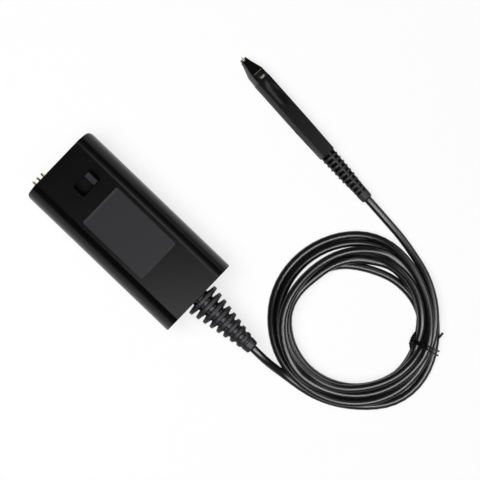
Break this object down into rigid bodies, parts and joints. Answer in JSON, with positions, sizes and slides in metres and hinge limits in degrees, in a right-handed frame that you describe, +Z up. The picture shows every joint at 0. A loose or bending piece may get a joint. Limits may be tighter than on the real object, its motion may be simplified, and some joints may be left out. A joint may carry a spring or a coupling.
{
  "type": "oscilloscope probe",
  "caption": "Active oscilloscope probe: connector pod with spring pins and a locking coaxial plug, a coiled lead and a slim pen-like probe head.",
  "frame": {"origin": "centre of the pod's underside, on the plane the probe lies on", "axes": "+X along the pod from its connector face to its cable end, +Z up out of the pod's top panel"},
  "size_m": [0.1859, 0.1136, 0.0254],
  "materials": {
    "pod_shell": "fine satin moulding grain",
    "head_shell": "satin",
    "label_grey": "matt film",
    "lever_grey": "satin",
    "black_insulator": "satin",
    "white_insulator": "waxy",
    "nickel": "bright nickel plate",
    "steel": "plain",
    "gold": "gold plate",
    "board_green": "solder mask",
    "chip_black": "moulded",
    "boot_rubber": "satin",
    "cable_jacket": "glossy",
    "tie_black": "satin",
    "smoked_lens": "clear smoked",
    "led_white": "diffuse"
  },
  "bodies": {
    "root": {"case_upper": "pod_shell", "case_lower": "pod_shell", "front_cap": "pod_shell", "label_plate": "label_grey", "case_screws": "steel", "collar_snap_ring": "steel", "collar_washer": "steel", "bnc_body": "nickel", "bnc_insulator": "white_insulator", "bnc_pin": "gold", "bnc_bracket": "steel", "bnc_nut": "nickel", "pin_block": "black_insulator", "pin_barrels": "gold", "pin_board": "board_green", "main_board": "board_green", "shield_can": "steel", "board_parts": "chip_black", "cable_clamp": "steel", "pod_boot": "boot_rubber", "pod_cable_core": "cable_jacket", "head_upper": "head_shell", "head_lower": "head_shell", "nose": "head_shell", "led_lens": "smoked_lens", "status_leds": "led_white", "head_board": "board_green", "head_chips": "chip_black", "signal_socket": "gold", "ground_socket": "gold", "head_boot": "boot_rubber", "head_cable_core": "cable_jacket", "pod_lead": "cable_jacket", "cord_coil": "cable_jacket", "head_lead": "cable_jacket", "twist_tie": "tie_black"},
    "lock": {"lock_lever": "lever_grey", "bnc_collar": "nickel"},
    "plunger_1": {"spring_pin_1": "gold"},
    "plunger_2": {"spring_pin_2": "gold"},
    "plunger_3": {"spring_pin_3": "gold"},
    "plunger_4": {"spring_pin_4": "gold"},
    "plunger_5": {"spring_pin_5": "gold"},
    "plunger_6": {"spring_pin_6": "gold"},
    "tip": {"signal_tip": "steel"}
  },
  "joints": [
    {"name": "lock_turn", "type": "hinge", "parent": "root", "child": "lock", "pos_m": [-0.027, 0.0031, 0.0125], "axis": [1, 0, 0], "range_deg": [0, 25]},
    {"name": "pin_press_1", "type": "slide", "parent": "root", "child": "plunger_1", "axis": [1, 0, 0], "range_m": [0, 0.0014], "stiffness_N_per_m": 350},
    {"name": "pin_press_2", "type": "slide", "parent": "root", "child": "plunger_2", "axis": [1, 0, 0], "range_m": [0, 0.0014], "stiffness_N_per_m": 350},
    {"name": "pin_press_3", "type": "slide", "parent": "root", "child": "plunger_3", "axis": [1, 0, 0], "range_m": [0, 0.0014], "stiffness_N_per_m": 350},
    {"name": "pin_press_4", "type": "slide", "parent": "root", "child": "plunger_4", "axis": [1, 0, 0], "range_m": [0, 0.0014], "stiffness_N_per_m": 350},
    {"name": "pin_press_5", "type": "slide", "parent": "root", "child": "plunger_5", "axis": [1, 0, 0], "range_m": [0, 0.0014], "stiffness_N_per_m": 350},
    {"name": "pin_press_6", "type": "slide", "parent": "root", "child": "plunger_6", "axis": [1, 0, 0], "range_m": [0, 0.0014], "stiffness_N_per_m": 350},
    {"name": "tip_pull", "type": "slide", "parent": "root", "child": "tip", "axis": [-0.9969, 0.0785, 0], "range_m": [0, 0.0045]}
  ]
}
